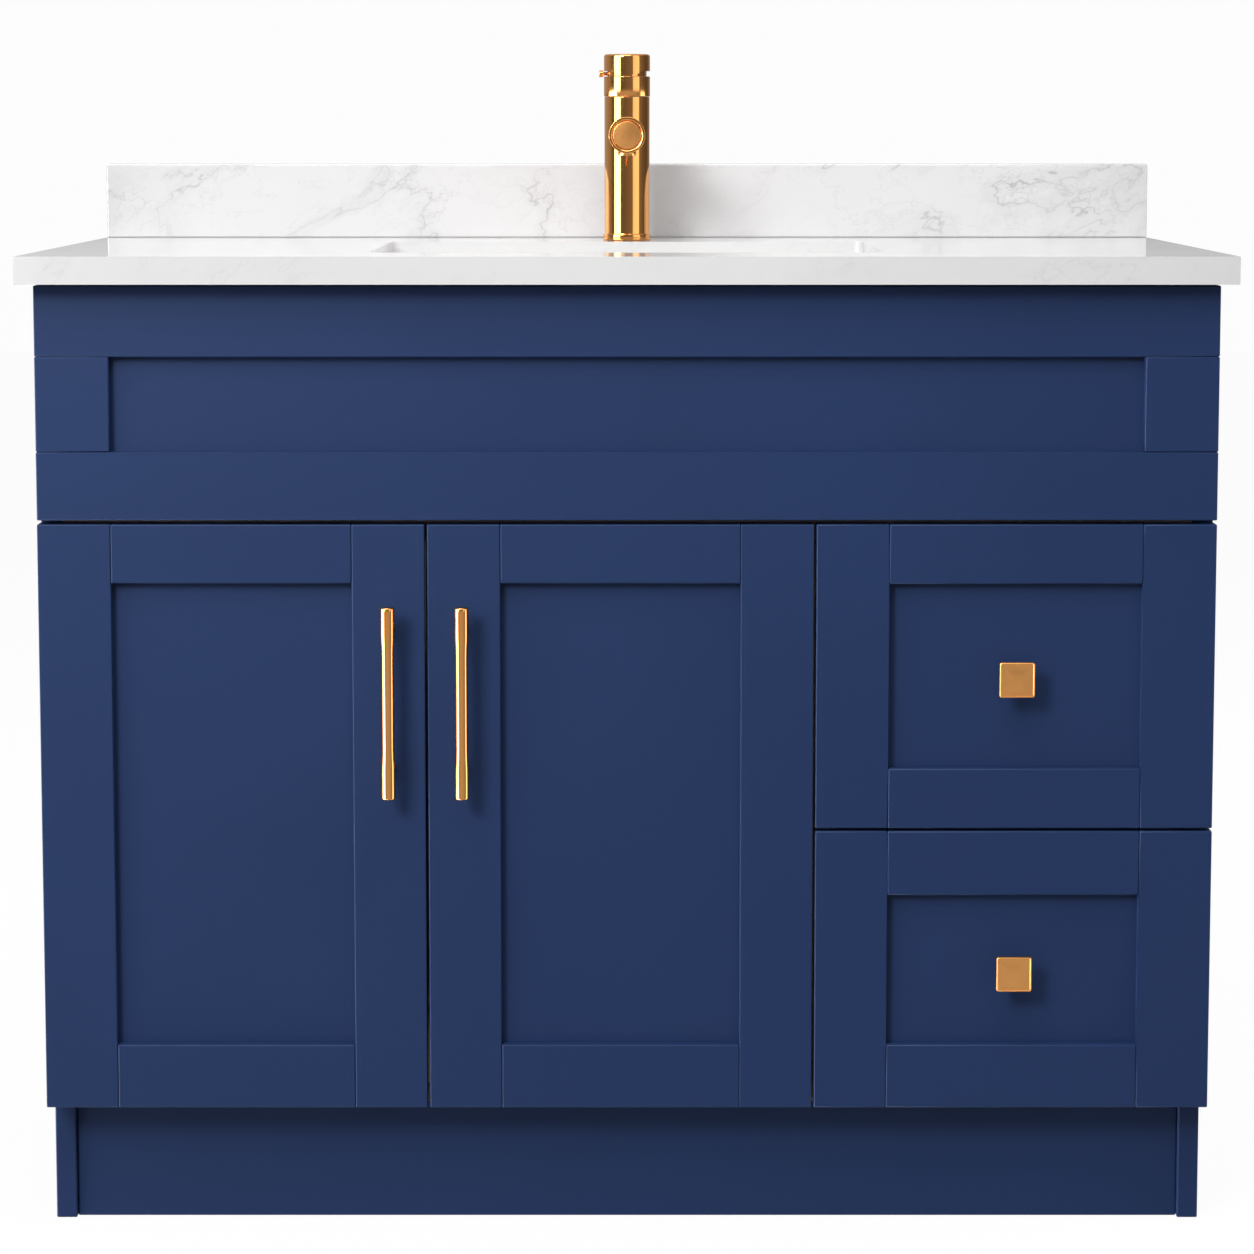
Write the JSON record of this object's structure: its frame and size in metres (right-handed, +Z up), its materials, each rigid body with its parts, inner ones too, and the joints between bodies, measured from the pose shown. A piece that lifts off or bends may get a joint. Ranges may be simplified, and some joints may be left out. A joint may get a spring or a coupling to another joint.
{
  "type": "bathroom vanity cabinet",
  "caption": "Framed-front bathroom vanity with doors, drawers, false front, stone counter, undermount basin and a column faucet.",
  "frame": {"origin": "on the floor, in the middle of the footprint", "axes": "+X to the right as you face the doors, +Y towards the wall, +Z up"},
  "size_m": [1.092, 0.566, 1.09],
  "materials": {
    "navy_paint": "satin navy paint",
    "birch_ply": "clear lacquered birch plywood",
    "quartz": "polished, faint grey veins",
    "ceramic": "glossy white glaze",
    "gold": "polished rose gold",
    "steel": "zinc plated",
    "chrome": "polished"
  },
  "bodies": {
    "cabinet": {"side_panel_left": "navy_paint", "side_panel_right": "navy_paint", "toe_kick": "navy_paint", "false_front_frame": "navy_paint", "false_front_panel": "navy_paint", "partition": "birch_ply", "bottom_panel": "birch_ply", "back_panel": "birch_ply", "front_top_rail": "birch_ply", "back_top_rail": "birch_ply", "mid_rail": "birch_ply", "countertop": "quartz", "backsplash": "quartz", "basin": "ceramic", "drain_flange": "chrome", "p_trap": "chrome", "faucet_body": "gold", "faucet_spout": "gold", "faucet_nut": "steel", "door_left_hinge_arm_top": "steel", "door_left_hinge_arm_bottom": "steel", "door_right_hinge_arm_top": "steel", "door_right_hinge_arm_bottom": "steel", "drawer_upper_channel_left": "steel", "drawer_upper_channel_right": "steel", "drawer_lower_channel_left": "steel", "drawer_lower_channel_right": "steel"},
    "left_door": {"door_left_hinge_stile": "navy_paint", "door_left_handle_stile": "navy_paint", "door_left_top_rail": "navy_paint", "door_left_bottom_rail": "navy_paint", "door_left_panel": "navy_paint", "door_left_handle": "gold", "door_left_cup_top": "steel", "door_left_cup_bottom": "steel"},
    "right_door": {"door_right_hinge_stile": "navy_paint", "door_right_handle_stile": "navy_paint", "door_right_top_rail": "navy_paint", "door_right_bottom_rail": "navy_paint", "door_right_panel": "navy_paint", "door_right_handle": "gold", "door_right_cup_top": "steel", "door_right_cup_bottom": "steel"},
    "upper_drawer": {"drawer_upper_front_frame": "navy_paint", "drawer_upper_front_panel": "navy_paint", "drawer_upper_knob": "gold", "drawer_upper_box": "birch_ply", "drawer_upper_bottom": "birch_ply", "drawer_upper_slide_left": "steel", "drawer_upper_slide_right": "steel"},
    "lower_drawer": {"drawer_lower_front_frame": "navy_paint", "drawer_lower_front_panel": "navy_paint", "drawer_lower_knob": "gold", "drawer_lower_box": "birch_ply", "drawer_lower_bottom": "birch_ply", "drawer_lower_slide_left": "steel", "drawer_lower_slide_right": "steel"},
    "faucet_sleeve": {"faucet_cartridge": "gold"},
    "faucet_lever": {"faucet_cap": "gold"},
    "stopper": {"drain_stopper": "chrome"}
  },
  "joints": [
    {"name": "door_left_swing", "type": "hinge", "parent": "cabinet", "child": "left_door", "pos_m": [-0.5335, -0.251, 0.388], "axis": [0, 0, -1], "range_deg": [0, 110]},
    {"name": "door_right_swing", "type": "hinge", "parent": "cabinet", "child": "right_door", "pos_m": [0.1692, -0.251, 0.388], "axis": [0, 0, 1], "range_deg": [0, 90]},
    {"name": "drawer_upper_slide", "type": "slide", "parent": "cabinet", "child": "upper_drawer", "axis": [0, -1, 0], "range_m": [0, 0.3]},
    {"name": "drawer_lower_slide", "type": "slide", "parent": "cabinet", "child": "lower_drawer", "axis": [0, -1, 0], "range_m": [0, 0.3]},
    {"name": "faucet_turn", "type": "hinge", "parent": "cabinet", "child": "faucet_sleeve", "pos_m": [0, 0.176, 1.069], "axis": [0, 0, 1], "range_deg": [-45, 45]},
    {"name": "faucet_flow", "type": "hinge", "parent": "faucet_sleeve", "child": "faucet_lever", "pos_m": [0, 0.176, 1.069], "axis": [0, 1, 0], "range_deg": [0, 12]},
    {"name": "stopper_lift", "type": "slide", "parent": "cabinet", "child": "stopper", "axis": [0, 0, 1], "range_m": [0, 0.008]}
  ]
}
